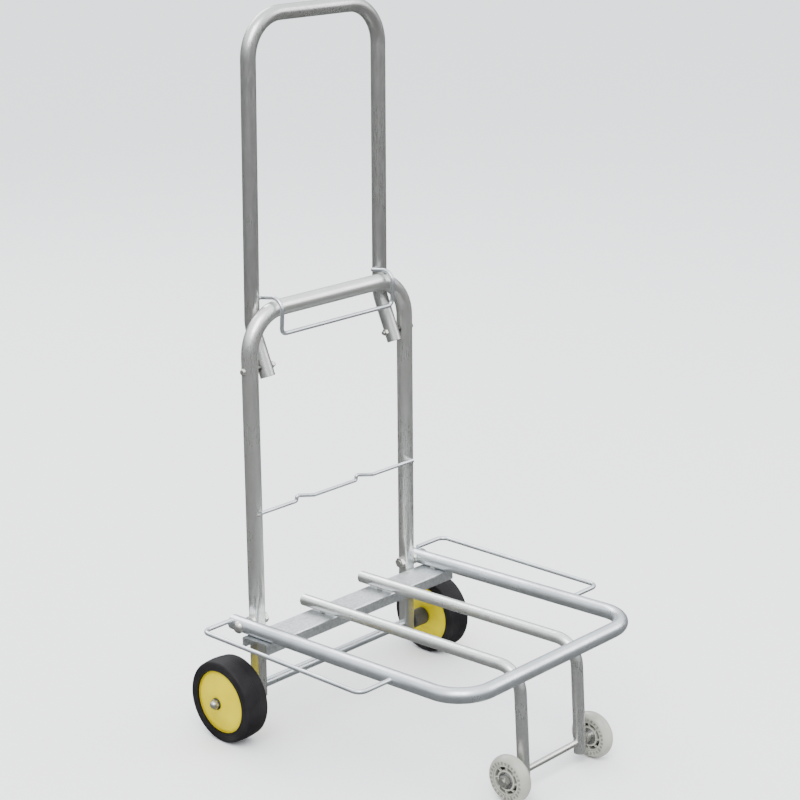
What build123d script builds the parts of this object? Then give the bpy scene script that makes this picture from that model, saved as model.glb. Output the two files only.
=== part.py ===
"""Folding luggage hand truck with a toe platform on two small front wheels.

Millimetres. +X is across the truck, -Y is forward (the toe of the platform), +Z is up.
The origin is on the floor under the centre of the truck's bounding box. The back frame
stands upright over the rear axle, and every place is given as (across, forward of the
back frame, height), which the function at() turns into X, Y, Z.
"""

import os
from math import acos, atan2, cos, radians, sin, sqrt, tan

from build123d import *

os.makedirs("parts", exist_ok=True)

# --- Fits -----------------------------------------------------------------------------
running_fit = 0.05  # radial clearance of a pin or a wheel on its axle
side_play = 0.3  # clearance between faces that move past each other
seat_gap = 0.2  # clearance between tubes that lie against each other

# --- Back frame -----------------------------------------------------------------------
leg_spacing = 290.0
frame_tube_diameter = 22.0
frame_tube_wall = 1.2
crossbar_height = 570.5
frame_corner_radius = 56.0
leg_square_side = 17.5  # the legs are squared below the platform hinge
leg_square_corner = 4.0
leg_square_rise = 14.0  # squared length above the platform hinge
leg_transition = 22.0
leg_below_axle = 14.0

# --- Cord hook wire -------------------------------------------------------------------
hook_wire_diameter = 5.0
hook_wire_height = 305.5
hook_tooth_rise = 7.5
hook_tooth_ramp = 32.0
hook_tooth_places = (-81.0, 31.5)  # the upright side of each tooth
hook_wire_bend = 2.7

# --- Rear wheels and axle -------------------------------------------------------------
rear_axle_diameter = 8.0
axle_tube_diameter = 12.0
rear_wheel_diameter = 114.0
rear_tyre_width = 37.0
rear_tyre_depth = 13.5
rear_tyre_shoulder = 2.5
rear_tyre_shoulder_round = 4.5
rear_hub_rim = 3.5
rear_hub_wall = 3.0
rear_hub_recess = 3.0  # hub rim inside the tyre's side face
rear_hub_sleeve_diameter = 22.0
rear_hub_crown = 7.0  # how far the cover's middle stands out of its rim
rear_cover_lip = 0.5  # the cover's edge stops short of the tyre's seat
rear_bush_diameter = 12.0
rear_spacer_diameter = 25.0
rear_spacer_length = 26.0
rear_spacer_chamfer = 1.5
rear_nut_across_flats = 12.0
rear_nut_flats_height = 4.0
rear_nut_dome = 4.5
rear_nut_dome_inset = 0.6
rear_washer_diameter = 16.0
rear_washer_thickness = 1.4

# --- Handle ---------------------------------------------------------------------------
handle_tube_diameter = 20.0
handle_tube_wall = 1.2
handle_height = 945.0  # centre of the grip
handle_grip_narrowing = 2.5  # each leg leans in by this at the grip
handle_grip_lean = 5.0  # and forward by this
handle_side_gap = 5.0  # between a handle leg and a frame leg
handle_crossbar_gap = 0.712  # where a leaning handle leg passes the crossbar
handle_corner_radius = 55.0
handle_bend_radius = 40.0
handle_bend_angle = 23.5
handle_pivot_height = 497.0
handle_end_length = 14.0  # from the pivot to the open end
handle_bolt_diameter = 5.0
handle_bolt_head_diameter = 9.0
handle_bolt_head_height = 3.2
handle_bolt_head_taper = 1.0
handle_bolt_tail = 7.0
handle_nut_across_flats = 8.0
handle_nut_height = 4.0

# --- Lock bail ------------------------------------------------------------------------
bail_wire_diameter = 5.5
bail_inset = 16.0  # from a handle leg's centre to the bail's arm
bail_pivot_rise = 12.0  # above the crossbar's centre
bail_arch_rise = 18.0
bail_reach = 20.0  # forward of the crossbar's centre, at the arch
bail_rung_reach = 16.5
bail_drop = 31.0
bail_end_bend = 5.0
bail_arch_bend = 16.0
bail_rung_bend = 8.0
bail_end_length = 3.0  # inside the handle leg

# --- Platform -------------------------------------------------------------------------
platform_over_wheels = 38.0  # from the rear wheels' tops to the platform hinge
platform_tilt = 1.85  # degrees, toe up
platform_tube_diameter = 20.0
platform_tube_wall = 1.2
platform_side_gap = 5.5  # between the tube and a leg's flat side
platform_reach = 388.5
platform_tail = 20.5
platform_corner_radius = 48.0
platform_bolt_diameter = 8.0
platform_bolt_head_diameter = 17.0
platform_bolt_head_height = 5.0
platform_bolt_tail = 1.0
platform_nut_across_flats = 13.0
platform_nut_height = 6.5
slat_tube_diameter = 16.0
slat_tube_wall = 1.2
slat_half_spacing = 56.0
slat_lift = 3.0  # weld gap between a slat and the cross channel
slat_tail = 2.5
slat_bend_radius = 31.5
front_leg_lean = 3.5
front_leg_below_axle = 15.5
channel_half_length = 181.0
channel_depth = 47.0
channel_height = 15.0
channel_sheet = 1.6
channel_bend = 2.5
wing_wire_diameter = 6.0
wing_half_width = 232.5
wing_tail = 9.5
wing_length = 286.0
wing_rear_rise = 8.5
wing_front_rise = 1.5
wing_corner_radius = 12.0
weld_radius = 1.8
weld_inset = 6.0  # of a wing's rear bead from the outer side of the platform tube
weld_length = 10.0
weld_end_round = 0.8  # share of a bead's radius that its ends are rounded by

# --- Front wheels and axle ------------------------------------------------------------
front_wheel_diameter = 62.0
front_wheel_width = 19.0
front_wheel_gap = 9.0  # between a front leg and its wheel
front_axle_diameter = 8.0
front_tyre_depth = 11.0
front_tyre_shoulder = 6.0
front_tyre_shoulder_round = 3.0
front_hub_width = 17.0
front_hub_rim = 3.0
front_hub_web = 8.0
front_window_count = 6
front_window_angle = 40.0
front_window_margin = 0.2  # of hub web left beside each window
bearing_diameter = 22.0
bearing_width = 7.0
bearing_ledge = 1.5  # the hub's rib between the two bearings
bearing_wall = 2.5  # radial thickness of the hub around a bearing
front_spacer_diameter = 12.0
front_nut_across_flats = 13.0
front_nut_height = 6.0
front_axle_tail = 1.5

# --- Sizes that follow ----------------------------------------------------------------
leg_x = leg_spacing / 2
frame_radius = frame_tube_diameter / 2
handle_radius = handle_tube_diameter / 2
platform_radius = platform_tube_diameter / 2
slat_radius = slat_tube_diameter / 2
wing_radius = wing_wire_diameter / 2
hook_radius = hook_wire_diameter / 2
bail_radius = bail_wire_diameter / 2
leg_flat_x = leg_x + leg_square_side / 2
leg_front = leg_square_side / 2

rear_axle_height = rear_wheel_diameter / 2
rear_axle_radius = rear_axle_diameter / 2
rear_hub_radius = rear_axle_height - rear_tyre_depth
rear_hub_inner = rear_tyre_width / 2 - rear_hub_recess
rear_wheel_x = leg_flat_x + rear_spacer_length + side_play + rear_hub_inner + rear_hub_wall
rear_cover_face = rear_wheel_x + rear_hub_inner + rear_hub_crown
rear_washer_x = rear_cover_face + side_play

handle_x = leg_x - frame_radius - handle_side_gap - handle_radius
# The setback at the handle's bends leaves the crossbar gap higher up, where the lean has begun.
handle_passing = frame_radius + handle_radius + handle_crossbar_gap
handle_rise = handle_height - handle_pivot_height
bend_rise = 1 / tan(radians(handle_bend_angle))
setback_sum = handle_rise + bend_rise * (handle_passing + handle_grip_lean)
setback_product = handle_passing * handle_rise + handle_grip_lean * (
    crossbar_height - handle_pivot_height
)
handle_setback = (setback_sum - sqrt(setback_sum**2 - 4 * bend_rise * setback_product)) / (
    2 * bend_rise
)
handle_bend_height = handle_pivot_height + handle_setback / tan(radians(handle_bend_angle))
bail_x = handle_x - bail_inset
bail_pivot_height = crossbar_height + bail_pivot_rise

platform_pivot_height = rear_wheel_diameter + platform_over_wheels
platform_x = leg_flat_x + platform_side_gap + platform_radius
slat_up = slat_radius + slat_lift - platform_radius
channel_top = -platform_radius
channel_back = leg_front + side_play

# A slat's bend passes under the front bar and just touches it.
bend_to_bar = slat_bend_radius + slat_radius + platform_radius + seat_gap
slat_bend_start = platform_reach - sqrt(bend_to_bar**2 - (slat_bend_radius - slat_up) ** 2)
slat_turn = 90 + platform_tilt - front_leg_lean
slat_corner = slat_bend_start + slat_bend_radius * tan(radians(slat_turn / 2))

front_axle_height = front_wheel_diameter / 2
front_axle_radius = front_axle_diameter / 2
slat_corner_forward = slat_corner * cos(radians(platform_tilt)) - slat_up * sin(radians(platform_tilt))
slat_corner_height = (
    platform_pivot_height
    + slat_corner * sin(radians(platform_tilt))
    + slat_up * cos(radians(platform_tilt))
)
front_axle_forward = slat_corner_forward + (slat_corner_height - front_axle_height) * tan(
    radians(front_leg_lean)
)
front_leg_side = slat_half_spacing + slat_radius
front_wheel_x = front_leg_side + front_wheel_gap + front_wheel_width / 2
front_hub_radius = front_axle_height - front_tyre_depth
bearing_face = front_hub_width / 2

# The truck's length runs from the front wheels' treads to the rear wheels' treads.
frame_y = (front_axle_forward + front_axle_height - rear_axle_height) / 2


def at(across, forward, height):
    """A place given across the truck, forward of the back frame and above the floor."""
    return Vector(across, frame_y - forward, height)


def on_platform(across, forward, up):
    """A place on the platform, measured along its tilt from the platform hinge."""
    tilt = radians(platform_tilt)
    return at(
        across,
        forward * cos(tilt) - up * sin(tilt),
        platform_pivot_height + forward * sin(tilt) + up * cos(tilt),
    )


def handle_leg(side, height):
    """A place on the upper, straight part of a handle leg, which leans a little."""
    part_way = (height - handle_bend_height) / (handle_height - handle_bend_height)
    return at(
        side * (handle_x - handle_grip_narrowing * part_way),
        handle_grip_lean * part_way - handle_setback,
        height,
    )


def side_axis(side, across, forward, height):
    """A plane whose X axis runs outwards along an axle and whose Y axis points up."""
    return Plane(at(side * across, forward, height), x_dir=(side, 0, 0), z_dir=(0, -side, 0))


def side_face(side, across, forward, height):
    """A plane square to an axle, facing outwards."""
    return Plane(at(side * across, forward, height), x_dir=(0, 1, 0), z_dir=(side, 0, 0))


def tube_section(route, outer_radius, wall=0.0):
    """The round section of a tube, or of a wire when it has no wall, at a route's start."""
    with BuildSketch(Plane(route @ 0, z_dir=route % 0)) as section:
        Circle(outer_radius)
        if wall:
            Circle(outer_radius - wall, mode=Mode.SUBTRACT)
    return section.sketch


def squared_section(height, side_x, wall=0.0):
    """The section of a squared leg."""
    with BuildSketch(Plane(at(side_x, 0, height))) as section:
        side = leg_square_side - 2 * wall
        RectangleRounded(side, side, leg_square_corner - wall)
    return section.sketch


def round_section(height, side_x, wall=0.0):
    """The section of a leg where it is still round."""
    with BuildSketch(Plane(at(side_x, 0, height))) as section:
        Circle(frame_radius - wall)
    return section.sketch


def turned_profile(axis_plane, outline):
    """A closed outline of (along the axis, radius) points, to turn about the axis."""
    with BuildSketch(axis_plane) as profile:
        with BuildLine():
            Polyline(*outline, close=True)
        make_face()
    return profile.sketch


def sleeve_outline(start, end, inner_radius, outer_radius):
    """The outline of a plain sleeve or washer."""
    return [
        (start, inner_radius),
        (end, inner_radius),
        (end, outer_radius),
        (start, outer_radius),
    ]


def dome_profile(axis_plane, start, radius, height):
    """A low dome that starts on an axis and bulges outwards."""
    with BuildSketch(axis_plane) as profile:
        with BuildLine():
            Line((start, 0), (start + height, 0))
            ThreePointArc(
                (start + height, 0),
                (start + height * cos(radians(45)), radius * sin(radians(45))),
                (start, radius),
            )
            Line((start, radius), (start, 0))
        make_face()
    return profile.sketch


def hex_section(face_plane, across_flats, bore_radius):
    """The section of a hexagon nut."""
    with BuildSketch(face_plane) as section:
        RegularPolygon(across_flats / 2, 6, major_radius=False)
        Circle(bore_radius, mode=Mode.SUBTRACT)
    return section.sketch


def cross_hole(radius, forward, height):
    """The section of a hole drilled across the whole truck."""
    with BuildSketch(side_face(1, 0, forward, height)) as section:
        Circle(radius)
    return section.sketch


def weld_bead(place, across=True):
    """A short bead of weld that bridges two pieces."""
    axis_dir = (1, 0, 0) if across else on_platform(0, 1, 0) - on_platform(0, 0, 0)
    with BuildPart(Plane(place, z_dir=axis_dir)) as bead:
        Cylinder(weld_radius, weld_length)
        fillet(bead.edges().filter_by(GeomType.CIRCLE), weld_radius * weld_end_round)
    return bead.part


def save(piece, name):
    """Label a finished piece and write its STEP file."""
    piece.part.label = name
    export_step(piece.part, f"parts/{name}.step")


def side_name(side):
    return "right" if side > 0 else "left"


# --- Back frame pieces ----------------------------------------------------------------


def make_back_frame():
    round_foot = platform_pivot_height + leg_square_rise + leg_transition
    square_top = platform_pivot_height + leg_square_rise
    foot = rear_axle_height - leg_below_axle
    with BuildPart() as back_frame_tube:
        with BuildLine() as route:
            FilletPolyline(
                at(-leg_x, 0, round_foot),
                at(-leg_x, 0, crossbar_height),
                at(leg_x, 0, crossbar_height),
                at(leg_x, 0, round_foot),
                radius=frame_corner_radius,
            )
        sweep(tube_section(route.wire(), frame_radius, frame_tube_wall), path=route.wire())
        for x in (-leg_x, leg_x):
            loft([squared_section(square_top, x), round_section(round_foot, x)])
            extrude(squared_section(foot, x), amount=square_top - foot)
        for x in (-leg_x, leg_x):
            wall = frame_tube_wall
            inner = [squared_section(square_top, x, wall), round_section(round_foot, x, wall)]
            loft(inner, mode=Mode.SUBTRACT)
            extrude(squared_section(foot, x, wall), amount=square_top - foot, mode=Mode.SUBTRACT)
        for radius, height in (
            (handle_bolt_diameter / 2 + running_fit, handle_pivot_height),
            (platform_bolt_diameter / 2 + running_fit, platform_pivot_height),
            (rear_axle_radius + running_fit, rear_axle_height),
        ):
            extrude(cross_hole(radius, 0, height), amount=leg_spacing, both=True, mode=Mode.SUBTRACT)
    save(back_frame_tube, "back_frame_tube")


def make_cord_hook_wire():
    wire_forward = frame_radius + hook_radius
    rise_slant = 1.0
    places = [at(-leg_x, wire_forward, hook_wire_height)]
    for tooth_x in hook_tooth_places:
        places += [
            at(tooth_x, wire_forward, hook_wire_height),
            at(tooth_x + rise_slant, wire_forward, hook_wire_height + hook_tooth_rise),
            at(tooth_x + hook_tooth_ramp, wire_forward, hook_wire_height),
        ]
    places.append(at(leg_x, wire_forward, hook_wire_height))
    with BuildPart() as cord_hook_wire:
        with BuildLine() as route:
            FilletPolyline(*places, radius=hook_wire_bend)
        sweep(tube_section(route.wire(), hook_radius), path=route.wire())
    save(cord_hook_wire, "cord_hook_wire")

    with BuildPart() as hook_wire_welds:
        for x in (-leg_x, leg_x):
            add(weld_bead(at(x, frame_radius + weld_radius / 2, hook_wire_height - hook_radius)))
    save(hook_wire_welds, "hook_wire_welds")


def make_rear_axle():
    half_inside = leg_x - leg_square_side / 2
    nut_start = rear_washer_x + rear_washer_thickness
    axle_end = nut_start + rear_nut_flats_height
    with BuildPart() as axle_tube:
        with BuildSketch(side_face(1, -half_inside, 0, rear_axle_height)):
            Circle(axle_tube_diameter / 2)
            Circle(rear_axle_radius + running_fit, mode=Mode.SUBTRACT)
        extrude(amount=2 * half_inside)
    save(axle_tube, "axle_tube")

    with BuildPart() as rear_axle:
        extrude(cross_hole(rear_axle_radius, 0, rear_axle_height), amount=axle_end, both=True)
    save(rear_axle, "rear_axle")

    with BuildPart() as rear_axle_washers:
        for side in (-1, 1):
            axis_plane = side_axis(side, rear_washer_x, 0, rear_axle_height)
            outline = sleeve_outline(
                0, rear_washer_thickness, rear_axle_radius + running_fit, rear_washer_diameter / 2
            )
            revolve(turned_profile(axis_plane, outline), axis=Axis(axis_plane.origin, (1, 0, 0)))
    save(rear_axle_washers, "rear_axle_washers")

    with BuildPart() as rear_axle_nuts:
        for side in (-1, 1):
            face = side_face(side, nut_start, 0, rear_axle_height)
            flats = hex_section(face, rear_nut_across_flats, rear_axle_radius)
            extrude(flats, amount=rear_nut_flats_height)
            axis_plane = side_axis(side, axle_end, 0, rear_axle_height)
            dome_radius = rear_nut_across_flats / 2 - rear_nut_dome_inset
            dome = dome_profile(axis_plane, 0, dome_radius, rear_nut_dome)
            revolve(dome, axis=Axis(axis_plane.origin, (1, 0, 0)))
    save(rear_axle_nuts, "rear_axle_nuts")

    for side in (-1, 1):
        axis_plane = side_axis(side, leg_flat_x, 0, rear_axle_height)
        with BuildPart() as wheel_spacer:
            outline = sleeve_outline(
                0, rear_spacer_length, rear_axle_radius + running_fit, rear_spacer_diameter / 2
            )
            revolve(turned_profile(axis_plane, outline), axis=Axis(axis_plane.origin, (1, 0, 0)))
            rounds = wheel_spacer.edges().filter_by(GeomType.CIRCLE)
            chamfer(rounds.sort_by(SortBy.RADIUS)[-2:], rear_spacer_chamfer)
        save(wheel_spacer, f"wheel_spacer_{side_name(side)}")


def make_rear_wheel(side):
    axis_plane = side_axis(side, rear_wheel_x, 0, rear_axle_height)
    axle = Axis(axis_plane.origin, (1, 0, 0))
    half = rear_tyre_width / 2
    shoulder = rear_axle_height - rear_tyre_shoulder
    sleeve = rear_hub_sleeve_diameter / 2
    inner_end = -rear_hub_inner - rear_hub_wall
    crown_end = rear_hub_inner + rear_hub_crown

    with BuildPart() as tyre:
        with BuildSketch(axis_plane) as profile:
            with BuildLine():
                Polyline(
                    (-half, shoulder), (-half, rear_hub_radius), (half, rear_hub_radius), (half, shoulder)
                )
                ThreePointArc((half, shoulder), (0, rear_axle_height), (-half, shoulder))
            make_face()
            fillet(profile.vertices().group_by(Axis.Y)[-1], rear_tyre_shoulder_round)
        revolve(axis=axle)
    save(tyre, f"rear_tyre_{side_name(side)}")

    with BuildPart() as hub:
        outline = [
            (inner_end, rear_bush_diameter / 2),
            (crown_end - rear_hub_wall, rear_bush_diameter / 2),
            (crown_end - rear_hub_wall, sleeve),
            (-rear_hub_inner, sleeve),
            (-rear_hub_inner + rear_hub_wall, rear_hub_radius - rear_hub_rim),
            (rear_hub_inner - rear_hub_wall, rear_hub_radius - rear_hub_rim),
            (rear_hub_inner - rear_hub_wall, rear_hub_radius),
            (-rear_hub_inner, rear_hub_radius),
            (inner_end, sleeve),
        ]
        revolve(turned_profile(axis_plane, outline), axis=axle)
    save(hub, f"rear_hub_{side_name(side)}")

    with BuildPart() as cover:
        outline = [
            (crown_end - rear_hub_wall, rear_axle_radius + running_fit),
            (crown_end, rear_axle_radius + running_fit),
            (crown_end, sleeve),
            (rear_hub_inner, rear_hub_radius - rear_cover_lip),
            (rear_hub_inner - rear_hub_wall, rear_hub_radius - rear_cover_lip),
            (crown_end - rear_hub_wall, sleeve),
        ]
        revolve(turned_profile(axis_plane, outline), axis=axle)
    save(cover, f"rear_hub_cover_{side_name(side)}")

    with BuildPart() as bush:
        outline = sleeve_outline(
            inner_end,
            crown_end - rear_hub_wall,
            rear_axle_radius + running_fit,
            rear_bush_diameter / 2,
        )
        revolve(turned_profile(axis_plane, outline), axis=axle)
    save(bush, f"rear_wheel_bush_{side_name(side)}")


# --- Handle, its hinge and its lock ---------------------------------------------------


def make_handle():
    bend = radians(handle_bend_angle)
    end_forward = handle_end_length * sin(bend)
    end_height = handle_pivot_height - handle_end_length * cos(bend)
    with BuildPart() as handle_tube:
        with BuildLine() as route:
            FilletPolyline(
                at(-handle_x, end_forward, end_height),
                handle_leg(-1, handle_bend_height),
                handle_leg(-1, handle_height),
                handle_leg(1, handle_height),
                handle_leg(1, handle_bend_height),
                at(handle_x, end_forward, end_height),
                radius=[
                    handle_bend_radius,
                    handle_corner_radius,
                    handle_corner_radius,
                    handle_bend_radius,
                ],
            )
        sweep(tube_section(route.wire(), handle_radius, handle_tube_wall), path=route.wire())
        bolt_hole = cross_hole(handle_bolt_diameter / 2 + running_fit, 0, handle_pivot_height)
        extrude(bolt_hole, amount=leg_spacing, both=True, mode=Mode.SUBTRACT)
        for side in (-1, 1):
            hole_start = handle_leg(side, bail_pivot_height)
            with BuildSketch(Plane(hole_start, z_dir=(-side, 0, 0))):
                Circle(bail_radius + running_fit)
            extrude(amount=handle_tube_diameter, mode=Mode.SUBTRACT)
    save(handle_tube, "handle_tube")


def make_handle_hinge():
    """Bolt, nut and spacer on each side of the handle's hinge."""
    bolt_radius = handle_bolt_diameter / 2
    head_radius = handle_bolt_head_diameter / 2
    nut_x = handle_x - handle_radius - side_play - handle_nut_height
    with BuildPart() as handle_pivot_bolts:
        for side in (-1, 1):
            head_start = leg_x + frame_radius
            axis_plane = side_axis(side, 0, 0, handle_pivot_height)
            shank_start = nut_x - handle_bolt_tail + handle_nut_height
            outline = [
                (shank_start, 0),
                (head_start + handle_bolt_head_height, 0),
                (head_start + handle_bolt_head_height, head_radius - handle_bolt_head_taper),
                (head_start, head_radius),
                (head_start, bolt_radius),
                (shank_start, bolt_radius),
            ]
            revolve(turned_profile(axis_plane, outline), axis=Axis(axis_plane.origin, (1, 0, 0)))
    save(handle_pivot_bolts, "handle_pivot_bolts")

    with BuildPart() as handle_pivot_nuts:
        for side in (-1, 1):
            face = side_face(side, nut_x, 0, handle_pivot_height)
            extrude(hex_section(face, handle_nut_across_flats, bolt_radius), amount=handle_nut_height)
    save(handle_pivot_nuts, "handle_pivot_nuts")

    with BuildPart() as handle_pivot_spacers:
        for side in (-1, 1):
            axis_plane = side_axis(side, handle_x + handle_radius + side_play, 0, handle_pivot_height)
            outline = sleeve_outline(
                0, handle_side_gap - side_play, bolt_radius + running_fit, handle_bolt_head_diameter / 2
            )
            revolve(turned_profile(axis_plane, outline), axis=Axis(axis_plane.origin, (1, 0, 0)))
    save(handle_pivot_spacers, "handle_pivot_spacers")


def make_lock_bail():
    pivot = handle_leg(1, bail_pivot_height)
    end_x = pivot.X - handle_radius + handle_tube_wall + bail_end_length
    pivot_forward = frame_y - pivot.Y
    arch_height = crossbar_height + bail_arch_rise
    rung_height = crossbar_height - bail_drop
    with BuildPart() as lock_bail:
        with BuildLine() as route:
            FilletPolyline(
                at(-end_x, pivot_forward, bail_pivot_height),
                at(-bail_x, pivot_forward, bail_pivot_height),
                at(-bail_x, bail_reach, arch_height),
                at(-bail_x, bail_rung_reach, rung_height),
                at(bail_x, bail_rung_reach, rung_height),
                at(bail_x, bail_reach, arch_height),
                at(bail_x, pivot_forward, bail_pivot_height),
                at(end_x, pivot_forward, bail_pivot_height),
                radius=[
                    bail_end_bend,
                    bail_arch_bend,
                    bail_rung_bend,
                    bail_rung_bend,
                    bail_arch_bend,
                    bail_end_bend,
                ],
            )
        sweep(tube_section(route.wire(), bail_radius), path=route.wire())
    save(lock_bail, "lock_bail")


# --- Platform pieces ------------------------------------------------------------------


def make_platform_tube():
    with BuildPart() as platform_tube:
        with BuildLine() as route:
            FilletPolyline(
                on_platform(-platform_x, -platform_tail, 0),
                on_platform(-platform_x, platform_reach, 0),
                on_platform(platform_x, platform_reach, 0),
                on_platform(platform_x, -platform_tail, 0),
                radius=platform_corner_radius,
            )
        sweep(tube_section(route.wire(), platform_radius, platform_tube_wall), path=route.wire())
        bolt_hole = cross_hole(platform_bolt_diameter / 2 + running_fit, 0, platform_pivot_height)
        extrude(bolt_hole, amount=leg_spacing, both=True, mode=Mode.SUBTRACT)
    save(platform_tube, "platform_tube")


def make_slat(side):
    """A slat tube that bends down under the front bar and becomes a front leg."""
    foot_height = front_axle_height - front_leg_below_axle
    foot_forward = front_axle_forward + front_leg_below_axle * tan(radians(front_leg_lean))
    x = side * slat_half_spacing
    with BuildPart() as slat_tube:
        with BuildLine() as route:
            FilletPolyline(
                on_platform(x, -slat_tail, slat_up),
                on_platform(x, slat_corner, slat_up),
                at(x, foot_forward, foot_height),
                radius=slat_bend_radius,
            )
        sweep(tube_section(route.wire(), slat_radius, slat_tube_wall), path=route.wire())
        axle_hole = cross_hole(front_axle_radius + running_fit, front_axle_forward, front_axle_height)
        extrude(axle_hole, amount=leg_spacing, both=True, mode=Mode.SUBTRACT)
    save(slat_tube, f"slat_tube_{side_name(side)}")


def make_cross_channel():
    """A folded sheet channel, open below, that the tubes lie on."""
    channel_front = channel_back + channel_depth
    channel_bottom = channel_top - channel_height
    end_plane = Plane(
        on_platform(-channel_half_length, 0, 0),
        x_dir=on_platform(0, 1, 0) - on_platform(0, 0, 0),
        z_dir=(1, 0, 0),
    )
    with BuildPart() as cross_channel:
        with BuildSketch(end_plane) as section:
            with BuildLine() as outline:
                FilletPolyline(
                    (channel_back, -channel_bottom),
                    (channel_back, -channel_top),
                    (channel_front, -channel_top),
                    (channel_front, -channel_bottom),
                    radius=channel_bend,
                )
                offset(amount=channel_sheet, side=Side.LEFT)
            make_face()
        extrude(amount=2 * channel_half_length)
    save(cross_channel, "cross_channel")


def make_wing(side):
    """The bent wire that widens the platform on one side."""
    contact = platform_radius + wing_radius
    rear_end = platform_x + sqrt(contact**2 - wing_rear_rise**2)
    front_end = platform_x + platform_radius
    front = wing_length - wing_tail
    with BuildPart() as wing_wire:
        with BuildLine() as route:
            FilletPolyline(
                on_platform(side * rear_end, -wing_tail, wing_rear_rise),
                on_platform(side * wing_half_width, -wing_tail, wing_rear_rise),
                on_platform(side * wing_half_width, front, wing_front_rise),
                on_platform(side * front_end, front, wing_front_rise),
                radius=wing_corner_radius,
            )
        sweep(tube_section(route.wire(), wing_radius), path=route.wire())
    save(wing_wire, f"wing_wire_{side_name(side)}")


def make_front_axle():
    nut_start = front_wheel_x + bearing_face + side_play
    axle_end = nut_start + front_nut_height + front_axle_tail
    with BuildPart() as front_axle:
        rod = cross_hole(front_axle_radius, front_axle_forward, front_axle_height)
        extrude(rod, amount=axle_end, both=True)
    save(front_axle, "front_axle")

    with BuildPart() as front_axle_nuts:
        for side in (-1, 1):
            face = side_face(side, nut_start, front_axle_forward, front_axle_height)
            extrude(hex_section(face, front_nut_across_flats, front_axle_radius), amount=front_nut_height)
    save(front_axle_nuts, "front_axle_nuts")

    with BuildPart() as front_axle_spacers:
        for side in (-1, 1):
            length = front_wheel_x - bearing_face - side_play - front_leg_side
            axis_plane = side_axis(side, front_leg_side, front_axle_forward, front_axle_height)
            outline = sleeve_outline(
                0, length, front_axle_radius + running_fit, front_spacer_diameter / 2
            )
            revolve(turned_profile(axis_plane, outline), axis=Axis(axis_plane.origin, (1, 0, 0)))
    save(front_axle_spacers, "front_axle_spacers")


def make_front_wheel(side):
    axis_plane = side_axis(side, front_wheel_x, front_axle_forward, front_axle_height)
    axle = Axis(axis_plane.origin, (1, 0, 0))
    half = front_wheel_width / 2
    half_hub = front_hub_width / 2
    shoulder = front_axle_height - front_tyre_shoulder
    seat = bearing_diameter / 2
    inner_ring = seat + bearing_wall

    with BuildPart() as tyre:
        with BuildSketch(axis_plane) as profile:
            with BuildLine():
                Polyline(
                    (-half, shoulder), (-half, front_hub_radius), (half, front_hub_radius), (half, shoulder)
                )
                ThreePointArc((half, shoulder), (0, front_axle_height), (-half, shoulder))
            make_face()
            fillet(profile.vertices().group_by(Axis.Y)[-1], front_tyre_shoulder_round)
        revolve(axis=axle)
    save(tyre, f"front_tyre_{side_name(side)}")

    with BuildPart() as hub:
        for outline in (
            sleeve_outline(-half_hub, half_hub, seat, inner_ring),
            sleeve_outline(-half_hub, half_hub, front_hub_radius - front_hub_rim, front_hub_radius),
            sleeve_outline(
                -front_hub_web / 2, front_hub_web / 2, seat, front_hub_radius - front_hub_rim / 2
            ),
            sleeve_outline(-half_hub + bearing_width, half_hub - bearing_width, seat - bearing_ledge, seat),
        ):
            revolve(turned_profile(axis_plane, outline), axis=axle)
        middle = (inner_ring + front_hub_radius - front_hub_rim) / 2
        window_x = front_wheel_x - front_hub_web
        with BuildSketch(side_face(side, window_x, front_axle_forward, front_axle_height)):
            with PolarLocations(0, front_window_count):
                SlotArc(
                    CenterArc((0, 0), middle, 0, front_window_angle),
                    front_hub_radius - front_hub_rim - inner_ring - 2 * front_window_margin,
                )
        extrude(amount=2 * front_hub_web, mode=Mode.SUBTRACT)
    save(hub, f"front_hub_{side_name(side)}")

    with BuildPart() as bearings:
        for start in (-half_hub, half_hub - bearing_width):
            outline = sleeve_outline(
                start, start + bearing_width, front_axle_radius + running_fit, bearing_diameter / 2
            )
            revolve(turned_profile(axis_plane, outline), axis=axle)
    save(bearings, f"front_bearings_{side_name(side)}")


def make_platform_hinge():
    """Bolt, washer and nut on each side of the platform's hinge."""
    bolt_radius = platform_bolt_diameter / 2
    inside_x = leg_x - leg_square_side / 2
    outside_x = platform_x + platform_radius + side_play
    with BuildPart() as platform_pivot_bolts:
        for side in (-1, 1):
            axis_plane = side_axis(side, 0, 0, platform_pivot_height)
            shank_start = inside_x - platform_nut_height - platform_bolt_tail
            outline = sleeve_outline(shank_start, outside_x, 0, bolt_radius)
            revolve(turned_profile(axis_plane, outline), axis=Axis(axis_plane.origin, (1, 0, 0)))
            dome = dome_profile(
                axis_plane, outside_x, platform_bolt_head_diameter / 2, platform_bolt_head_height
            )
            revolve(dome, axis=Axis(axis_plane.origin, (1, 0, 0)))
    save(platform_pivot_bolts, "platform_pivot_bolts")

    with BuildPart() as platform_pivot_nuts:
        for side in (-1, 1):
            face = side_face(side, inside_x - platform_nut_height, 0, platform_pivot_height)
            nut = hex_section(face, platform_nut_across_flats, bolt_radius)
            extrude(nut, amount=platform_nut_height)
    save(platform_pivot_nuts, "platform_pivot_nuts")

    with BuildPart() as platform_pivot_spacers:
        for side in (-1, 1):
            axis_plane = side_axis(side, leg_flat_x, 0, platform_pivot_height)
            outline = sleeve_outline(
                0, platform_side_gap - side_play, bolt_radius + running_fit, leg_square_side / 2
            )
            revolve(turned_profile(axis_plane, outline), axis=Axis(axis_plane.origin, (1, 0, 0)))
    save(platform_pivot_spacers, "platform_pivot_spacers")


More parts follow.
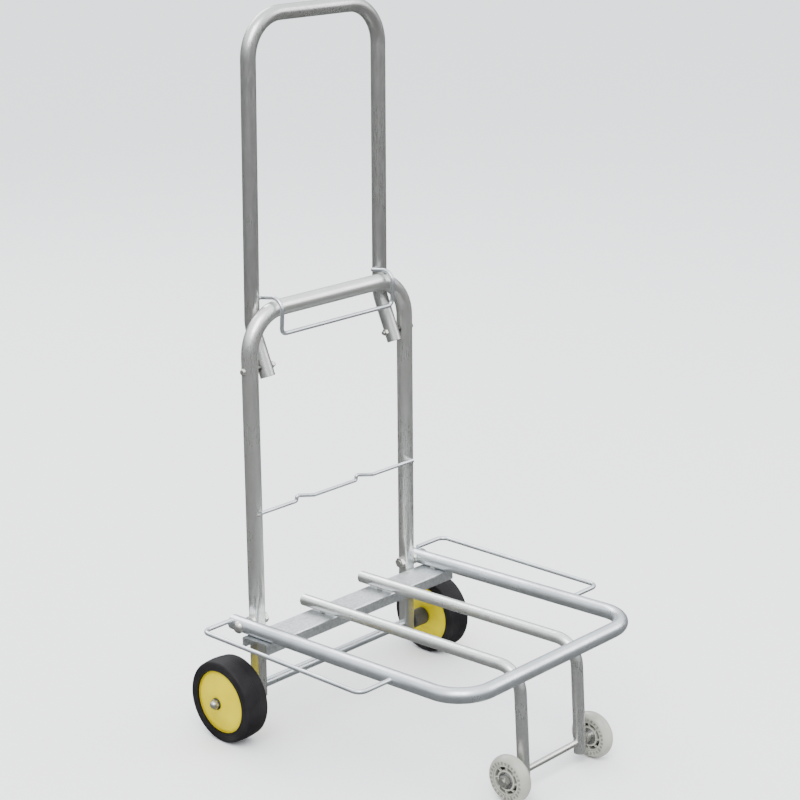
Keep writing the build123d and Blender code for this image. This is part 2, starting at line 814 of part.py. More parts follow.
def make_platform_welds():
    channel_middle = channel_back + channel_depth / 2
    bead_reach = slat_bend_radius + slat_radius + weld_radius / 2
    bar_side = platform_radius + weld_radius / 2
    bar_direction = atan2(platform_reach - slat_bend_start, slat_bend_radius - slat_up)
    bead_turn = acos((bead_reach**2 + bend_to_bar**2 - bar_side**2) / (2 * bead_reach * bend_to_bar))
    bend_direction = bar_direction - bead_turn
    with BuildPart() as platform_welds:
        for side in (-1, 1):
            x = side * slat_half_spacing
            add(weld_bead(on_platform(x, channel_middle, channel_top + slat_lift / 2), False))
            crevice = (side * (platform_x - platform_radius / 2), channel_middle)
            add(weld_bead(on_platform(*crevice, channel_top + weld_radius / 2), False))
            bar_forward = slat_bend_start + bead_reach * sin(bend_direction)
            bar_up = slat_up - slat_bend_radius + bead_reach * cos(bend_direction)
            add(weld_bead(on_platform(x, bar_forward, bar_up)))
            rear_x = platform_x + platform_radius - weld_inset
            add(weld_bead(on_platform(side * rear_x, -wing_tail, wing_rear_rise - wing_radius)))
            front_x = platform_x + platform_radius
            add(weld_bead(on_platform(side * front_x, wing_length - wing_tail, wing_front_rise)))
    save(platform_welds, "platform_welds")


make_back_frame()
make_cord_hook_wire()
make_rear_axle()
make_handle()
make_handle_hinge()
make_lock_bail()
make_platform_tube()
make_cross_channel()
make_platform_hinge()
make_front_axle()
make_platform_welds()
for wheel_side in (-1, 1):
    make_rear_wheel(wheel_side)
    make_front_wheel(wheel_side)
    make_slat(wheel_side)
    make_wing(wheel_side)
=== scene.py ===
"""Looks of the folding hand truck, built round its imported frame. Sizes are in metres."""

import math
import random

import bmesh
import bpy
from mathutils import Matrix, Vector


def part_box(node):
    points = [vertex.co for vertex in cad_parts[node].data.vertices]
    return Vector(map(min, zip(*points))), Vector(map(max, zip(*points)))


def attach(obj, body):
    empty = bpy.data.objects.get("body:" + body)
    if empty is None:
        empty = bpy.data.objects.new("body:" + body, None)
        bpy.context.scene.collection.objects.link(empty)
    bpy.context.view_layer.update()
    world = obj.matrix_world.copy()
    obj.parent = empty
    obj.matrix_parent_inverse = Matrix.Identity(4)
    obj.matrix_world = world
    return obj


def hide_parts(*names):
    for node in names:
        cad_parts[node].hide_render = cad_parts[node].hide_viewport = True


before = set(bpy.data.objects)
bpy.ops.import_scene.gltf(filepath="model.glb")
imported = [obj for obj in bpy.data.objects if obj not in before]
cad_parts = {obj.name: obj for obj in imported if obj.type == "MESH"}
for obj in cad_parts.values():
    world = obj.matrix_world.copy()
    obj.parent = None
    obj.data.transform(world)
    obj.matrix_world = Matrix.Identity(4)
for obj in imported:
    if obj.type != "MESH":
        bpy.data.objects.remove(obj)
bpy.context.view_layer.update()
sides = ("left", "right")
MM = 0.001


# --- Helpers --------------------------------------------------------------------------


def middle(node):
    """Centre of a frame node's box."""
    low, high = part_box(node)
    return (low + high) / 2


def islands(node):
    """Boxes of the separate solids in a frame node."""
    bm = bmesh.new()
    bm.from_mesh(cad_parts[node].data)
    bmesh.ops.remove_doubles(bm, verts=bm.verts, dist=0.01 * MM)
    waiting = set(bm.verts)
    boxes = []
    while waiting:
        group = [waiting.pop()]
        for vert in group:
            for edge in vert.link_edges:
                other = edge.other_vert(vert)
                if other in waiting:
                    waiting.remove(other)
                    group.append(other)
        corners = [v.co for v in group]
        low = Vector([min(c[i] for c in corners) for i in range(3)])
        high = Vector([max(c[i] for c in corners) for i in range(3)])
        boxes.append((low, high))
    bm.free()
    return sorted(boxes, key=lambda pair: tuple(pair[0]))


def finish_mesh(bm, name, material, smooth_angle=35):
    """Turns a bmesh into a shown piece with outward faces and one material."""
    bmesh.ops.remove_doubles(bm, verts=bm.verts, dist=0.002 * MM)
    bmesh.ops.recalc_face_normals(bm, faces=bm.faces)
    for face in bm.faces:
        face.smooth = True
    for edge in bm.edges:
        edge.smooth = edge.calc_face_angle(0) < math.radians(smooth_angle)
    mesh = bpy.data.meshes.new(name)
    bm.to_mesh(mesh)
    bm.free()
    mesh.materials.append(material)
    piece = bpy.data.objects.new(name, mesh)
    bpy.context.scene.collection.objects.link(piece)
    return piece


def spin_ring(bm, outline, centre, steps):
    """Spins a closed outline of (along X, radius) points about the X axis through centre."""
    verts = [bm.verts.new(centre + Vector((x, 0, radius))) for x, radius in outline]
    edges = [bm.edges.new((verts[i - 1], verts[i])) for i in range(len(verts))]
    bmesh.ops.spin(
        bm, geom=verts + edges, cent=centre, axis=(1, 0, 0), angle=math.tau, steps=steps, use_merge=True
    )


def swing_round(bm, verts, centre, index, count):
    """Swings verts about the X axis to one of count places, then moves them out to centre."""
    turn = Matrix.Rotation(math.tau * index / count, 3, "X")
    bmesh.ops.rotate(bm, verts=verts, cent=(0, 0, 0), matrix=turn)
    bmesh.ops.translate(bm, vec=centre, verts=verts)


def arc_points(centre, radius, start, end, count):
    """Points of an arc in an outline; the angles are in degrees."""
    x, y = centre
    turns = [math.radians(start + (end - start) * i / count) for i in range(count + 1)]
    return [(x + radius * math.cos(turn), y + radius * math.sin(turn)) for turn in turns]


# --- Shader parts ---------------------------------------------------------------------


def add_node(tree, kind, **inputs):
    """A shader node with its inputs set from values or linked from sockets."""
    node = tree.nodes.new(kind)
    for name, value in inputs.items():
        socket = node.inputs[name.replace("_", " ")]
        if isinstance(value, bpy.types.NodeSocket):
            tree.links.new(value, socket)
        else:
            socket.default_value = value
    return node


def ramp(tree, source, stops):
    """A colour ramp with (place, grey) stops."""
    node = tree.nodes.new("ShaderNodeValToRGB")
    band = node.color_ramp
    while len(band.elements) < len(stops):
        band.elements.new(0.5)
    for element, (place, grey) in zip(band.elements, stops):
        element.position = place
        element.color = (grey, grey, grey, 1)
    tree.links.new(source, node.inputs["Fac"])
    return node.outputs["Color"]


def math_node(tree, operation, first, second):
    """A math node on two sockets or numbers."""
    node = tree.nodes.new("ShaderNodeMath")
    node.operation = operation
    for socket, value in zip(node.inputs, (first, second)):
        if isinstance(value, bpy.types.NodeSocket):
            tree.links.new(value, socket)
        else:
            socket.default_value = value
    return node.outputs["Value"]


def mix_colour(tree, factor, first, second, blend="MIX"):
    """A colour mix of sockets or colours; sockets 6, 7 and the output 2 are the colour ones."""
    node = tree.nodes.new("ShaderNodeMix")
    node.data_type = "RGBA"
    node.blend_type = blend
    for index, value in ((0, factor), (6, first), (7, second)):
        if isinstance(value, bpy.types.NodeSocket):
            tree.links.new(value, node.inputs[index])
        else:
            node.inputs[index].default_value = value
    return node.outputs[2]


def new_group(name, inputs, outputs):
    """A shader node group with named float or vector inputs."""
    tree = bpy.data.node_groups.new(name, "ShaderNodeTree")
    for label, kind, value in inputs:
        socket = tree.interface.new_socket(label, in_out="INPUT", socket_type=kind)
        socket.default_value = value
    for label, kind in outputs:
        tree.interface.new_socket(label, in_out="OUTPUT", socket_type=kind)
    return tree, tree.nodes.new("NodeGroupInput"), tree.nodes.new("NodeGroupOutput")


def make_zinc_skin():
    """Zinc plating: cloudy bloom, fine crystal mottling and drawn streaks along a tube."""
    tree, given, result = new_group(
        "zinc_skin",
        [
            ("Cloud Scale", "NodeSocketFloat", 14.0),
            ("Crystal Scale", "NodeSocketFloat", 260.0),
            ("Stretch", "NodeSocketVector", (1.0, 1.0, 0.1)),
        ],
        [
            ("Bloom", "NodeSocketFloat"),
            ("Crystals", "NodeSocketFloat"),
            ("Streaks", "NodeSocketFloat"),
        ],
    )
    place = tree.nodes.new("ShaderNodeTexCoord").outputs["Object"]
    cloud = add_node(
        tree, "ShaderNodeTexNoise", Vector=place, Scale=given.outputs["Cloud Scale"], Detail=6.0
    )
    crystal = add_node(
        tree, "ShaderNodeTexVoronoi", Vector=place, Scale=given.outputs["Crystal Scale"]
    )
    stretched = tree.nodes.new("ShaderNodeVectorMath")
    stretched.operation = "MULTIPLY"
    tree.links.new(place, stretched.inputs[0])
    tree.links.new(given.outputs["Stretch"], stretched.inputs[1])
    streak = add_node(
        tree, "ShaderNodeTexNoise", Vector=stretched.outputs["Vector"], Scale=900.0, Detail=3.0
    )
    tree.links.new(ramp(tree, cloud.outputs["Fac"], [(0.3, 0.0), (0.7, 1.0)]), result.inputs["Bloom"])
    tree.links.new(crystal.outputs["Distance"], result.inputs["Crystals"])
    tree.links.new(
        ramp(tree, streak.outputs["Fac"], [(0.42, 0.0), (0.62, 1.0)]), result.inputs["Streaks"]
    )
    return tree


def make_handling_marks():
    """Sparse scuffs and specks that handling leaves on any surface."""
    tree, given, result = new_group(
        "handling_marks",
        [("Scale", "NodeSocketFloat", 60.0), ("Cover", "NodeSocketFloat", 0.35)],
        [("Scuffs", "NodeSocketFloat"), ("Dust", "NodeSocketFloat")],
    )
    place = tree.nodes.new("ShaderNodeTexCoord").outputs["Object"]
    scuff = add_node(
        tree,
        "ShaderNodeTexNoise",
        Vector=place,
        Scale=given.outputs["Scale"],
        Detail=8.0,
        Roughness=0.7,
        Distortion=1.4,
    )
    dust = add_node(tree, "ShaderNodeTexNoise", Vector=place, Scale=28.0, Detail=7.0)
    worn = ramp(tree, scuff.outputs["Fac"], [(0.58, 0.0), (0.76, 1.0)])
    tree.links.new(
        math_node(tree, "MULTIPLY", worn, given.outputs["Cover"]), result.inputs["Scuffs"]
    )
    soft = ramp(tree, dust.outputs["Fac"], [(0.35, 0.0), (0.75, 1.0)])
    tree.links.new(math_node(tree, "MULTIPLY", soft, given.outputs["Cover"]), result.inputs["Dust"])
    return tree


zinc_skin = make_zinc_skin()
handling_marks = make_handling_marks()


def place_group(tree, group, **inputs):
    """Puts a node group into a material with its own values."""
    node = tree.nodes.new("ShaderNodeGroup")
    node.node_tree = group
    for name, value in inputs.items():
        node.inputs[name.replace("_", " ")].default_value = value
    return node.outputs


def start_material(name):
    """An empty Principled material: its tree and its shader."""
    material = bpy.data.materials.new(name)
    material.use_nodes = True
    tree = material.node_tree
    shader = tree.nodes["Principled BSDF"]
    return material, tree, shader


def add_bump(tree, shader, height, strength, distance):
    """Fine relief from a height value."""
    bump = add_node(
        tree, "ShaderNodeBump", Height=height, Strength=strength, Distance=distance
    )
    tree.links.new(bump.outputs["Normal"], shader.inputs["Normal"])


def zinc(name, light, dark, gloss, stretch, crystals=0.1):
    """Galvanised steel with streaks drawn along the piece."""
    material, tree, shader = start_material(name)
    skin = place_group(tree, zinc_skin, Stretch=stretch)
    marks = place_group(tree, handling_marks, Scale=75.0, Cover=0.14)
    clouded = mix_colour(tree, skin["Bloom"], dark, light)
    mottled = mix_colour(
        tree, math_node(tree, "MULTIPLY", skin["Crystals"], crystals), clouded, (0.34, 0.36, 0.38, 1)
    )
    worn = mix_colour(tree, marks["Scuffs"], mottled, (0.24, 0.235, 0.22, 1))
    tree.links.new(worn, shader.inputs["Base Color"])
    shader.inputs["Metallic"].default_value = 0.92
    streaky = math_node(tree, "MULTIPLY", skin["Streaks"], 0.13)
    cloudy = math_node(tree, "MULTIPLY", skin["Bloom"], -0.09)
    rough = math_node(tree, "ADD", math_node(tree, "ADD", streaky, cloudy), gloss)
    scuffed = math_node(tree, "ADD", rough, math_node(tree, "MULTIPLY", marks["Scuffs"], 0.3))
    tree.links.new(scuffed, shader.inputs["Roughness"])
    relief = math_node(tree, "ADD", skin["Streaks"], math_node(tree, "MULTIPLY", skin["Crystals"], 0.15))
    add_bump(tree, shader, relief, 0.16, 0.08 * MM)
    return material


def weld_metal():
    """Burnt weld beads: dark scale over bright spatter."""
    material, tree, shader = start_material("weld_metal")
    skin = place_group(tree, zinc_skin, Cloud_Scale=420.0, Crystal_Scale=900.0, Stretch=(1, 1, 1))
    colour = mix_colour(tree, skin["Bloom"], (0.20, 0.195, 0.185, 1), (0.66, 0.65, 0.62, 1))
    tree.links.new(colour, shader.inputs["Base Color"])
    shader.inputs["Metallic"].default_value = 0.75
    tree.links.new(
        ramp(tree, skin["Bloom"], [(0.0, 0.72), (1.0, 0.42)]), shader.inputs["Roughness"]
    )
    add_bump(tree, shader, skin["Crystals"], 0.5, 0.2 * MM)
    return material


def moulded(name, light, dark, gloss, grain, cover, coat=0.0, shine=0.5):
    """Moulded plastic or rubber: a grain, uneven tone, scuffs and a little dust."""
    material, tree, shader = start_material(name)
    skin = place_group(tree, zinc_skin, Cloud_Scale=30.0, Crystal_Scale=grain, Stretch=(1, 1, 1))
    marks = place_group(tree, handling_marks, Scale=90.0, Cover=cover)
    toned = mix_colour(tree, skin["Bloom"], dark, light)
    dusty = mix_colour(tree, marks["Dust"], toned, (0.42, 0.40, 0.36, 1))
    scuffed = mix_colour(tree, marks["Scuffs"], dusty, (0.30, 0.29, 0.27, 1))
    tree.links.new(scuffed, shader.inputs["Base Color"])
    shader.inputs["Specular IOR Level"].default_value = shine
    shader.inputs["Coat Weight"].default_value = coat
    shader.inputs["Coat Roughness"].default_value = 0.12
    rough = math_node(tree, "ADD", math_node(tree, "MULTIPLY", marks["Dust"], 0.5), gloss)
    tree.links.new(rough, shader.inputs["Roughness"])
    add_bump(tree, shader, skin["Crystals"], 0.12, 0.06 * MM)
    return material


def milky_rubber():
    """Translucent whitish tyre."""
    material = moulded(
        "clear_tyre", (0.40, 0.40, 0.35, 1), (0.29, 0.29, 0.25, 1), 0.32, 700.0, 0.15, coat=0.2
    )
    shader = material.node_tree.nodes["Principled BSDF"]
    shader.inputs["Subsurface Weight"].default_value = 0.45
    shader.inputs["Subsurface Radius"].default_value = (0.9, 0.9, 0.8)
    shader.inputs["Subsurface Scale"].default_value = 4 * MM
    return material


upright = (1.0, 1.0, 0.06)
forward = (1.0, 0.06, 1.0)
across = (0.06, 1.0, 1.0)
bent = (1.0, 0.1, 0.1)
pale_zinc = (0.72, 0.75, 0.78, 1)
grey_zinc = (0.52, 0.545, 0.57, 1)
finishes = {
    "zinc_upright": zinc("zinc_upright", (0.76, 0.765, 0.735, 1), (0.65, 0.65, 0.62, 1), 0.33, upright),
    "zinc_handle": zinc("zinc_handle", (0.56, 0.56, 0.54, 1), (0.44, 0.44, 0.425, 1), 0.33, upright),
    "zinc_deck": zinc("zinc_deck", pale_zinc, grey_zinc, 0.33, forward),
    "zinc_slat": zinc("zinc_slat", (0.80, 0.805, 0.785, 1), (0.68, 0.685, 0.665, 1), 0.33, bent, 0.2),
    "zinc_across": zinc("zinc_across", pale_zinc, grey_zinc, 0.34, across),
    "zinc_sheet": zinc("zinc_sheet", (0.82, 0.84, 0.85, 1), (0.64, 0.66, 0.67, 1), 0.40, across, 0.6),
    "plated_fastener": zinc(
        "plated_fastener", (0.66, 0.66, 0.62, 1), (0.48, 0.47, 0.43, 1), 0.32, (1, 1, 1), 0.08
    ),
    "bearing_steel": zinc(
        "bearing_steel", (0.50, 0.50, 0.49, 1), (0.34, 0.34, 0.33, 1), 0.3, (1, 1, 1), 0.06
    ),
    "dark_washer": zinc(
        "dark_washer", (0.13, 0.13, 0.12, 1), (0.06, 0.06, 0.055, 1), 0.45, (1, 1, 1), 0.05
    ),
    "weld_metal": weld_metal(),
    "black_tyre": moulded(
        "black_tyre", (0.012, 0.011, 0.013, 1), (0.007, 0.006, 0.007, 1), 0.58, 800.0, 0.02, shine=0.16
    ),
    "black_plastic": moulded(
        "black_plastic", (0.030, 0.030, 0.030, 1), (0.016, 0.016, 0.016, 1), 0.5, 500.0, 0.1
    ),
    "yellow_plastic": moulded(
        "yellow_plastic", (0.60, 0.49, 0.0, 1), (0.50, 0.40, 0.0, 1), 0.5, 600.0, 0.004, shine=0.08
    ),
    "grey_plastic": moulded(
        "grey_plastic", (0.40, 0.40, 0.35, 1), (0.27, 0.27, 0.23, 1), 0.38, 600.0, 0.3
    ),
    "lug_plastic": moulded(
        "lug_plastic", (0.20, 0.20, 0.165, 1), (0.13, 0.13, 0.105, 1), 0.5, 600.0, 0.1
    ),
    # Near-black finish for the core's sunk web: painted shade in the slots, not the plastic's own
    # colour.
    "painted_slot_shade": moulded(
        "painted_slot_shade", (0.035, 0.035, 0.030, 1), (0.02, 0.02, 0.016, 1), 0.6, 600.0, 0.02, shine=0.2
    ),
    "clear_tyre": milky_rubber(),
}
node_finishes = {
    "zinc_upright": ("back_frame_tube",),
    "zinc_handle": ("handle_tube",),
    "zinc_deck": ("platform_tube", "wing_wire_left", "wing_wire_right"),
    "zinc_slat": ("slat_tube_left", "slat_tube_right"),
    "zinc_across": ("axle_tube", "cord_hook_wire", "lock_bail"),
    "zinc_sheet": ("cross_channel",),
    "plated_fastener": (
        "rear_axle",
        "rear_axle_nuts",
        "handle_pivot_bolts",
        "handle_pivot_nuts",
        "platform_pivot_bolts",
        "platform_pivot_nuts",
        "platform_pivot_spacers",
        "front_axle",
        "front_axle_nuts",
        "front_axle_spacers",
        "rear_wheel_bush_left",
        "rear_wheel_bush_right",
    ),
    "dark_washer": ("rear_axle_washers", "handle_pivot_spacers"),
    "weld_metal": ("platform_welds", "hook_wire_welds"),
    "black_tyre": ("rear_tyre_left", "rear_tyre_right"),
    "black_plastic": ("wheel_spacer_left", "wheel_spacer_right"),
    "yellow_plastic": ("rear_hub_left", "rear_hub_right", "rear_hub_cover_left", "rear_hub_cover_right"),
    "grey_plastic": ("front_hub_left", "front_hub_right"),
    "clear_tyre": ("front_tyre_left", "front_tyre_right"),
    "bearing_steel": ("front_bearings_left", "front_bearings_right"),
}
for finish, nodes in node_finishes.items():
    for node in nodes:
        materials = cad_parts[node].data.materials
        materials.clear()
        materials.append(finishes[finish])


# --- Welds ----------------------------------------------------------------------------


def weld_run(name, node, body, seed):
    """Rippled beads where the frame has its plain ones."""
    ripples = 5
    ripple_share = 0.1
    lump_share = 0.015
    chance = random.Random(seed)
    bm = bmesh.new()
    for low, high in islands(node):
        size = high - low
        along = max(range(2), key=lambda axis: size[axis])
        made = bmesh.ops.create_icosphere(bm, subdivisions=4, radius=0.5)["verts"]
        phase = chance.uniform(0, math.tau)
        for vert in made:
            ripple = 1 + ripple_share * math.cos(vert.co[along] * ripples * math.tau + phase)
            lump = 1 + chance.uniform(-lump_share, lump_share)
            for axis in range(3):
                if axis != along:
                    vert.co[axis] *= ripple * lump
        bmesh.ops.scale(bm, vec=size, verts=made)
        bmesh.ops.translate(bm, vec=(low + high) / 2, verts=made)
    piece = finish_mesh(bm, name, finishes["weld_metal"], 60)
    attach(piece, body)
    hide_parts(node)


weld_run("deck_weld_beads", "platform_welds", "platform", 4)
weld_run("hook_weld_beads", "hook_wire_welds", "back_frame", 7)


# --- Fasteners ------------------------------------------------------------------------


def chamfered_nuts(name, node, body, across_flats):
    """Hex nuts with their corners turned off, where the frame has plain ones."""
    corner_share = 0.09
    bm = bmesh.new()
    for low, high in islands(node):
        length = high.x - low.x
        made = bmesh.ops.create_cone(
            bm,
            cap_ends=True,
            segments=6,
            radius1=across_flats / math.sqrt(3),
            radius2=across_flats / math.sqrt(3),
            depth=length,
        )["verts"]
        bmesh.ops.rotate(bm, verts=made, cent=(0, 0, 0), matrix=Matrix.Rotation(math.pi / 2, 3, "Y"))
        bmesh.ops.translate(bm, vec=(low + high) / 2, verts=made)
    bmesh.ops.bevel(
        bm,
        geom=bm.verts[:],
        offset=across_flats * corner_share,
        segments=2,
        profile=0.5,
        affect="VERTICES",
        material=-1,
    )
    piece = finish_mesh(bm, name, finishes["plated_fastener"], 25)
    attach(piece, body)
    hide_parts(node)


chamfered_nuts("handle_hinge_nuts", "handle_pivot_nuts", "back_frame", 8 * MM)
chamfered_nuts("deck_hinge_nuts", "platform_pivot_nuts", "back_frame", 13 * MM)
chamfered_nuts("front_wheel_nuts", "front_axle_nuts", "platform", 13 * MM)


# --- Rear wheels ----------------------------------------------------------------------


def rear_hub_face(side):
    """The yellow cone over the hub, with a rolled rim and a seat ring for the washer."""
    node = f"rear_hub_cover_{side}"
    low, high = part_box(node)
    centre = middle(node)
    outward = 1 if centre.x > 0 else -1
    rim = (high.z - low.z) / 2
    half = (high.x - low.x) / 2
    bore = 4.05 * MM
    seat = 11 * MM
    wall = 3 * MM
    bead = 1.3 * MM
    ease = 0.8 * MM
    dish = 0.5 * MM
    rim_face = wall - half
    outline = [
        (half - wall, bore),
        (half, bore),
        (half, seat - ease),
        (half - 0.2 * MM, seat),
    ]
    cone = 14
    for step in range(1, cone):
        share = step / cone
        sag = dish * math.sin(math.pi * share)
        outline.append((half + (rim_face - half) * share - sag, seat + (rim - 3 * bead - seat) * share))
    outline += [(rim_face - 0.3 * MM, rim - 2.4 * bead)]
    outline += arc_points((rim_face - bead * 0.4, rim - bead), bead, 150, 0, 8)
    outline += [(-half, rim), (half - wall - 0.3 * MM, seat)]
    bm = bmesh.new()
    spin_ring(bm, [(x * outward, radius) for x, radius in outline], centre, 128)
    piece = finish_mesh(bm, f"rear_hub_face_{side}", finishes["yellow_plastic"], 40)
    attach(piece, f"rear_wheel_{side}")
    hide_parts(node)


def rear_tread(side):
    """A solid tyre with its parting line and a shallow groove round each side."""
    node = f"rear_tyre_{side}"
    low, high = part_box(node)
    centre = middle(node)
    radius = (high.z - low.z) / 2
    half = (high.x - low.x) / 2
    tyre_depth = 13.5 * MM
    seat = radius - tyre_depth
    corner = 3.2 * MM
    crown_drop = 1.3 * MM
    groove_start, groove_middle, groove_end = (1.4 * MM, 2 * MM, 2.7 * MM)
    groove_depth = 0.45 * MM
    line_rise = 0.12 * MM
    line_foot, line_top = (0.4 * MM, 0.25 * MM)
    crown = [(half, seat), (half, seat + groove_start), (half - groove_depth, seat + groove_middle)]
    crown += [(half, seat + groove_end)]
    crown += arc_points((half - corner, radius - crown_drop - corner), corner, 0, 80, 8)
    edge_x = crown[-1][0]
    edge_radius = crown[-1][1]
    steps = 12
    for step in range(1, steps):
        x = edge_x * (1 - step / steps)
        crown.append((x, radius - (radius - edge_radius) * (x / edge_x) ** 2 - line_rise))
    crown += [(line_foot, radius - line_rise), (line_top, radius)]
    outline = crown + [(-x, r) for x, r in reversed(crown)]
    bm = bmesh.new()
    spin_ring(bm, outline, centre, 144)
    piece = finish_mesh(bm, f"rear_tread_{side}", finishes["black_tyre"], 50)
    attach(piece, f"rear_wheel_{side}")
    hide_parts(node)


for side in sides:
    rear_hub_face(side)
    rear_tread(side)


# --- Front wheels ---------------------------------------------------------------------


def front_core(side):
    """The pale moulded core: two rings joined by leaning ribs, over a sunk web coloured near black as
    painted shade for the slots between the ribs.
    """
    node = f"front_hub_{side}"
    low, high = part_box(node)
    centre = middle(node)
    radius = (high.z - low.z) / 2
    half = (high.x - low.x) / 2
    seat = 11 * MM
    collar = 13.5 * MM
    rim = radius - 2.2 * MM
    lip = 0.5 * MM
    bm = bmesh.new()
    for inner, outer in ((seat, collar), (rim, radius)):
        outline = [
            (-half, inner + lip),
            (-half, outer - lip),
            (-half + lip, outer),
            (half - lip, outer),
            (half, outer - lip),
            (half, inner + lip),
            (half - lip, inner),
            (-half + lip, inner),
        ]
        spin_ring(bm, outline, centre, 96)
    ribs = 8
    rib_lean = 24
    rib_width = 2.4 * MM
    rib_thickness = 2.0 * MM
    rib_sunk = 2.2 * MM
    rib_overlap = 0.6 * MM
    span = rim - collar + 2 * rib_overlap
    for face_side in (-1, 1):
        for index in range(ribs):
            made = bmesh.ops.create_cube(bm, size=1)["verts"]
            bmesh.ops.scale(bm, vec=(rib_width, rib_thickness, span), verts=made)
            lean = Matrix.Rotation(math.radians(rib_lean * face_side), 3, "X")
            bmesh.ops.rotate(bm, verts=made, cent=(0, 0, 0), matrix=lean)
            lift = Vector((face_side * (half - rib_sunk), 0, (collar + rim) / 2))
            bmesh.ops.translate(bm, vec=lift, verts=made)
            swing_round(bm, made, centre, index, ribs)
    piece = finish_mesh(bm, f"front_core_{side}", finishes["grey_plastic"])
    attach(piece, f"front_wheel_{side}")
    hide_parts(node)
    # The web between the ribs gets the near-black finish: painted shade for the deep slots.
    web_half = 0.6 * MM
    web_overlap = 0.3 * MM
    inner, outer = (collar - web_overlap, rim + web_overlap)
    outline = [(-web_half, inner), (web_half, inner), (web_half, outer), (-web_half, outer)]
    bm = bmesh.new()
    spin_ring(bm, outline, centre, 96)
    floor = finish_mesh(bm, f"front_core_shade_web_{side}", finishes["painted_slot_shade"])
    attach(floor, f"front_wheel_{side}")


def front_lugs(side):
    """Small moulded lugs that show round the tyre's sides, next to the core."""
    node = f"front_tyre_{side}"
    low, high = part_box(node)
    centre = middle(node)
    half = (high.x - low.x) / 2
    ring = 22.9 * MM
    count = 26
    long_lug, short_lug = (4.4 * MM, 3.2 * MM)
    lug_width = 2.9 * MM
    lug_height = 0.5 * MM
    lug_edge = 0.16 * MM
    bm = bmesh.new()
    for face_side in (-1, 1):
        for index in range(count):
            made = bmesh.ops.create_cube(bm, size=1)["verts"]
            deep = long_lug if index % 2 else short_lug
            bmesh.ops.scale(bm, vec=(lug_height, lug_width, deep), verts=made)
            bmesh.ops.translate(bm, vec=(face_side * half, 0, ring), verts=made)
            swing_round(bm, made, centre, index, count)
    bmesh.ops.bevel(
        bm, geom=bm.edges[:], offset=lug_edge, segments=2, profile=0.5, affect="EDGES", material=-1
    )
    piece = finish_mesh(bm, f"front_lugs_{side}", finishes["lug_plastic"])
    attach(piece, f"front_wheel_{side}")


def shielded_bearings(side):
    """Ball bearings with a sunk shield between two races."""
    node = f"front_bearings_{side}"
    bm = bmesh.new()
    bore, inner, outer, rim = (4.05 * MM, 6 * MM, 9.4 * MM, 11 * MM)
    sunk = 0.6 * MM
    for low, high in islands(node):
        half = (high.x - low.x) / 2
        outline = [
            (-half, bore),
            (-half, inner),
            (-half + sunk, inner + 0.2 * MM),
            (-half + sunk, outer - 0.2 * MM),
            (-half, outer),
            (-half, rim),
        ]
        outline += [(-x, radius) for x, radius in reversed(outline)]
        spin_ring(bm, outline, (low + high) / 2, 72)
    piece = finish_mesh(bm, f"shielded_bearings_{side}", finishes["bearing_steel"])
    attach(piece, f"front_wheel_{side}")
    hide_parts(node)


for side in sides:
    front_core(side)
    front_lugs(side)
    shielded_bearings(side)


# --- Stage, light and camera ----------------------------------------------------------


def make_floor():
    """A wide pale floor that reads as darker ground in the metal's reflections."""
    bm = bmesh.new()
    bmesh.ops.create_grid(bm, x_segments=4, y_segments=4, size=14)
    material, tree, shader = start_material("pale_floor")
    shader.inputs["Base Color"].default_value = (0.93, 0.93, 0.93, 1)
    shader.inputs["Roughness"].default_value = 0.9
    ground = add_node(tree, "ShaderNodeEmission", Color=(0.5, 0.51, 0.5, 1), Strength=0.32)
    glossy = tree.nodes.new("ShaderNodeLightPath").outputs["Is Glossy Ray"]
    both = tree.nodes.new("ShaderNodeMixShader")
    tree.links.new(glossy, both.inputs[0])
    tree.links.new(shader.outputs["BSDF"], both.inputs[1])
    tree.links.new(ground.outputs["Emission"], both.inputs[2])
    tree.links.new(both.outputs["Shader"], tree.nodes["Material Output"].inputs["Surface"])
    finish_mesh(bm, "floor", material)


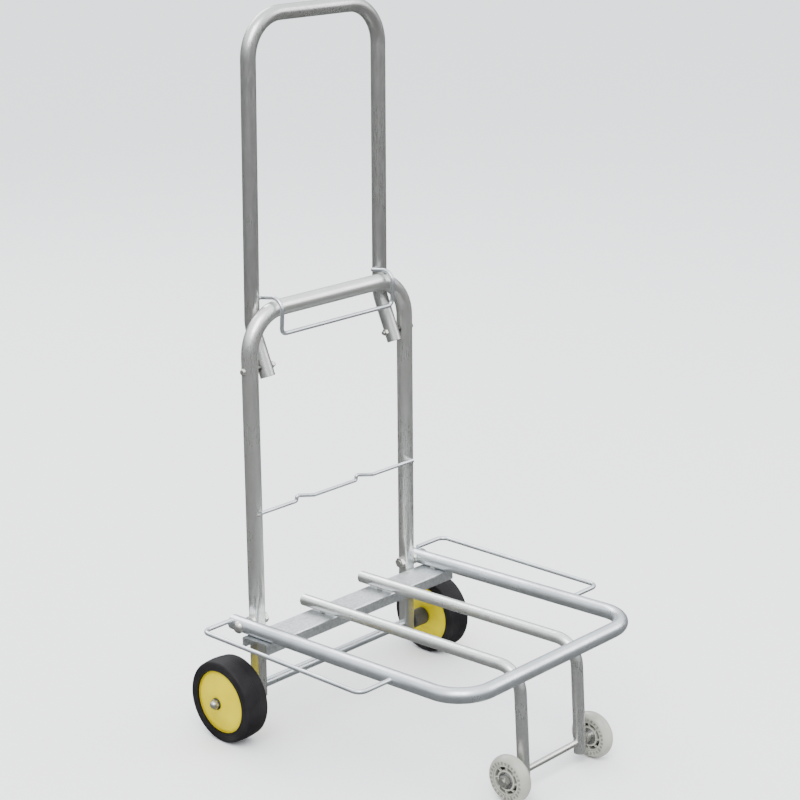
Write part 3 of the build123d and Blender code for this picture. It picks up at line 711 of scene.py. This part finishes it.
def make_sky():
    """A white surround whose reflections are bright overhead and grey at the horizon."""
    world = bpy.data.worlds.new("studio")
    bpy.context.scene.world = world
    world.use_nodes = True
    tree = world.node_tree
    place = tree.nodes.new("ShaderNodeTexCoord").outputs["Generated"]
    split = add_node(tree, "ShaderNodeSeparateXYZ", Vector=place)
    dome = ramp(tree, split.outputs["Z"], [(0.0, 0.10), (0.22, 0.16), (0.5, 0.85), (1.0, 1.0)])
    seen = tree.nodes.new("ShaderNodeLightPath").outputs["Is Camera Ray"]
    tinted = mix_colour(tree, 1.0, dome, (0.93, 0.97, 1.0, 1), "MULTIPLY")
    shade = mix_colour(tree, seen, tinted, (1.0, 1.0, 1.0, 1))
    background = tree.nodes["Background"]
    tree.links.new(shade, background.inputs["Color"])
    background.inputs["Strength"].default_value = 2.7


def soft_light(name, place, aim, size, power):
    """A square softbox aimed at a point."""
    lamp = bpy.data.lights.new(name, "AREA")
    lamp.size = size
    lamp.energy = power
    holder = bpy.data.objects.new(name, lamp)
    holder.location = place
    holder.rotation_mode = "QUATERNION"
    holder.rotation_quaternion = (Vector(aim) - Vector(place)).to_track_quat("-Z", "Y")
    bpy.context.scene.collection.objects.link(holder)


def make_camera():
    """A long lens from the front left, a little above the deck."""
    azimuth, elevation, roll = (math.radians(a) for a in (-46.598, 15.721, -0.503))
    back = Vector(
        (
            math.sin(azimuth) * math.cos(elevation),
            -math.cos(azimuth) * math.cos(elevation),
            math.sin(elevation),
        )
    )
    right = Vector((math.cos(azimuth), math.sin(azimuth), 0))
    up = back.cross(right)
    right_rolled = right * math.cos(roll) + up * math.sin(roll)
    up_rolled = up * math.cos(roll) - right * math.sin(roll)
    camera = bpy.data.objects.new("camera", bpy.data.cameras.new("camera"))
    bpy.context.scene.collection.objects.link(camera)
    turn = Matrix((right_rolled, up_rolled, back)).transposed()
    axle_y = middle("axle_tube").y
    place = Vector((-1.81476, axle_y - 1.84446, 1.20917))
    camera.matrix_world = Matrix.Translation(place) @ turn.to_4x4()
    camera.data.lens = 90.47
    camera.data.sensor_width = 36
    camera.data.shift_y = -0.0516
    camera.data.clip_end = 60
    bpy.context.scene.camera = camera


make_floor()
make_sky()
soft_light("key", (-1.8, -1.4, 3.2), (0, 0, 0.4), 2.2, 130)
soft_light("fill", (2.4, -2.0, 2.2), (0, 0, 0.4), 2.0, 45)
soft_light("rim", (0.6, 2.6, 2.6), (0, 0, 0.5), 1.8, 60)
make_camera()
